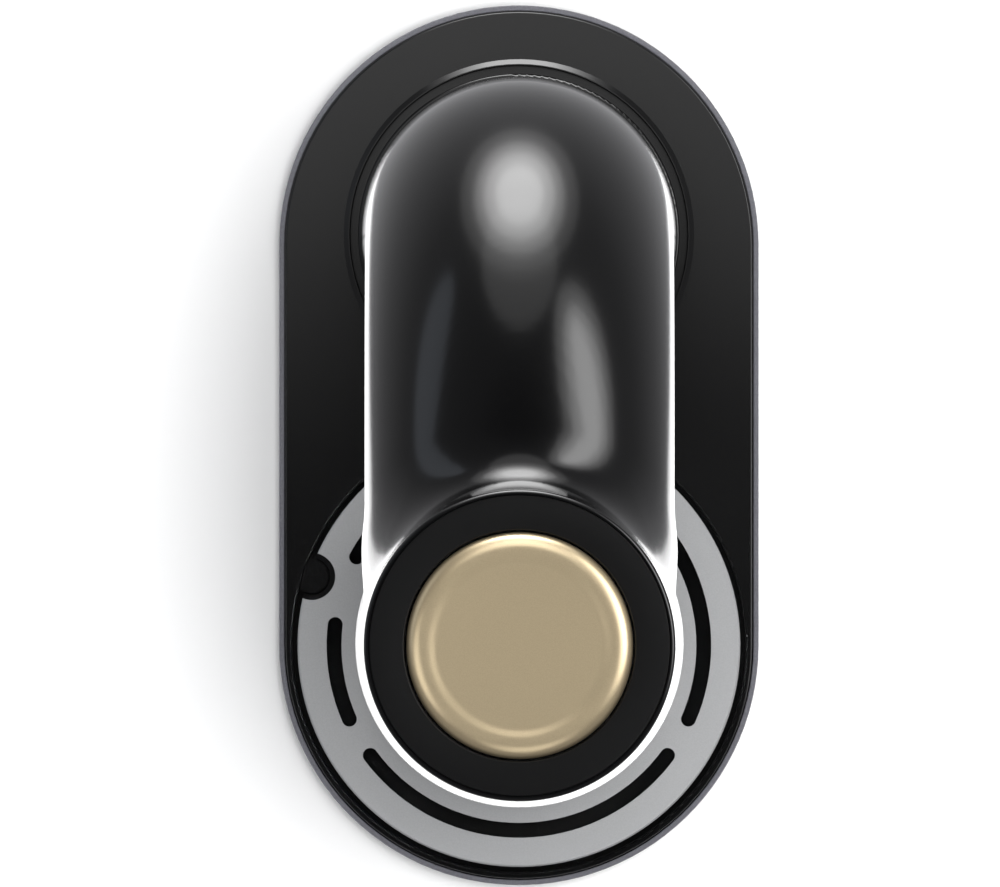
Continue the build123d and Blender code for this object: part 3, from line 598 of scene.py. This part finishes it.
lights = [
    # name, place, aim, sizes across and up, watts
    # the key and the rear light are stacks of ellipses, the larger ones fainter and farther back
    ("right key", (1.24, 0.46, 1.28), (0, 0, 0.40), (1.30, 0.45), 3.6),
    ("right key", (1.29, 0.46, 1.33), (0, 0, 0.40), (1.70, 0.85), 8.9),
    ("right key", (1.34, 0.46, 1.38), (0, 0, 0.40), (2.40, 1.30), 11.5),
    ("rear soft", (0.0, 1.62, 0.42), (0, 0, 0.42), (0.72, 0.72), 4.8),
    ("rear soft", (0.0, 1.67, 0.42), (0, 0, 0.42), (1.10, 1.10), 11.0),
    ("rear soft", (0.0, 1.72, 0.42), (0, 0, 0.42), (1.50, 1.50), 14.0),
    ("rear soft", (0.0, 1.77, 0.42), (0, 0, 0.42), (2.10, 2.10), 8.0),
    ("rear upper", (0.0, 1.85, 1.30), (0, 0, 0.42), (1.80, 1.80), 6.0),
]

buttonLights = [
    # place, size, watts: four sides of the crown, then the dish
    ((0.0, 1.0, 1.7), 1.0, 7.5),
    ((1.0, 0.0, 1.5), 0.9, 6.0),
    ((-1.0, -0.3, 1.5), 0.9, 4.2),
    ((0.1, -1.2, 1.5), 0.9, 3.0),
    ((-0.15, -0.35, 2.2), 1.2, 1.1),
]


fills = {
    # name, place, aim, sizes across and up, watts, colour where it isn't white
    "left": ("left kick", (-1.46, 0.52, 0.78), (0, 0, 0.4), (1.6, 0.6), 1.7, (0.80, 0.88, 1.0)),
    "floor": ("floor fill", (0.22, 0.03, 2.5), (0, 0, 0), (0.9, 0.9), 98.0),
    "wide": ("wide fill", (0.25, 0.1, 2.6), (0, 0, 0), (2.6, 2.6), 112.0),
    "shelf": ("base shelf", (0.0, 0.45, 1.0), (0, 0.45, 0), (0.9, 0.8), 2.6),
}

ground = {"half": 4.0, "grey": 0.93, "nearR": 0.45, "nearAt": (0, -0.35, -0.001), "nearGrey": 0.88,
          "nearGlow": 1.1}


def panel(name, place, aim, size, power, colour=(1, 1, 1)):
    # a soft elliptical light
    light = bpy.data.lights.new(name, "AREA")
    light.shape = "ELLIPSE"
    light.size, light.size_y = size
    light.energy = power
    light.color = colour
    thing = bpy.data.objects.new(name, light)
    scene.collection.objects.link(thing)
    thing.location = place
    thing.rotation_euler = (Vector(aim) - Vector(place)).to_track_quat("-Z", "Y").to_euler()
    return thing


def linkLight(light, name, things, leftOut=False):
    # the light reaches only these things, or all but these when they are left out
    group = bpy.data.collections.new(name)
    for thing in things:
        group.objects.link(thing)
    light.light_linking.receiver_collection = group
    if leftOut:
        for member in group.collection_objects:
            member.light_linking.link_state = "EXCLUDE"


def stageThing(name, paint, made, grey):
    # a floor that belongs to the studio, not to the object, and throws no shadow
    mesh = bpy.data.meshes.new(name)
    made.to_mesh(mesh)
    made.free()
    thing = bpy.data.objects.new(name, mesh)
    scene.collection.objects.link(thing)
    bench = Bench(bpy.data.materials.new(paint))
    bench.set(Base_Color=rgb(grey, grey, grey), Roughness=0.75)
    mesh.materials.append(bench.owner)
    thing.visible_shadow = False
    return thing, bench


def paleFloor():
    made = bmesh.new()
    bmesh.ops.create_grid(made, x_segments=8, y_segments=8, size=ground["half"])
    floor, _ = stageThing("floor", "pale floor", made, ground["grey"])
    floor.visible_glossy = False
    return floor


def nearFloor():
    # the bright patch of floor that the gloss mirrors, seen only in reflections
    made = bmesh.new()
    bmesh.ops.create_circle(made, cap_ends=True, segments=96, radius=ground["nearR"])
    near, bench = stageThing("near floor", "near floor", made, ground["nearGrey"])
    near.location = ground["nearAt"]
    bench.set(Emission_Color=rgb(1, 1, 1), Emission_Strength=ground["nearGlow"])
    near.visible_camera = False
    near.visible_diffuse = False
    return near


def softWorld():
    # grey all round: lightest underfoot, darkest straight overhead
    bench = Bench(bpy.data.worlds.new("studio"), "Background")
    direction = bench.node("ShaderNodeTexCoord", out="Generated")
    rise = bench.node("ShaderNodeSeparateXYZ", {}, {"Vector": direction}, out="Z")
    greys = [(0.0, 0.50), (0.3, 0.40), (0.45, 0.30), (0.625, 0.26), (0.8, 0.19), (0.92, 0.15), (1.0, 0.06)]
    stops = [(position, (grey, grey, grey * 1.03, 1)) for position, grey in greys]
    bench.set(Color=bench.node("ShaderNodeValToRGB", {"stops": stops}, {"Fac": rise * 0.5 + 0.5}))
    scene.world = bench.owner


def studio():
    floor = paleFloor()
    near = nearFloor()
    softWorld()
    for name, place, aim, size, power in lights:
        panel(name, place, aim, size, power).visible_diffuse = False
    panel(*fills["left"])
    floorFill = panel(*fills["floor"])
    floorFill.visible_glossy = False
    linkLight(floorFill, "floor parts", [floor, near])
    wideFill = panel(*fills["wide"])
    wideFill.visible_glossy = False
    linkLight(wideFill, "shaded floor", [floor], leftOut=True)
    for place, size, power in buttonLights:
        glow = panel("button soft", place, (0, -0.05, 0.43), (size, size), power)
        glow.visible_diffuse = False
        linkLight(glow, "button parts", [bpy.data.objects["button_face"]])
    shelf = panel(*fills["shelf"])
    shelf.data.shape = "RECTANGLE"
    linkLight(shelf, "low parts", [nodes[name] for name in ("base_housing", "base_trim", "tower_collar")])
    print("studio lit")


studio()

# a long lens far overhead, so that hardly any side shows
lens = {"length": 1395.0, "sensor": 36.0, "height": 10.68, "x": -0.0052, "y": 0.0005}


def overheadCamera():
    camera = bpy.data.cameras.new("overhead")
    camera.lens = lens["length"]
    camera.sensor_width = lens["sensor"]
    camera.clip_end = 100.0
    thing = bpy.data.objects.new("overhead", camera)
    scene.collection.objects.link(thing)
    thing.location = (lens["x"], lens["y"], lens["height"])
    scene.camera = thing


overheadCamera()
scene.view_settings.view_transform = "Standard"
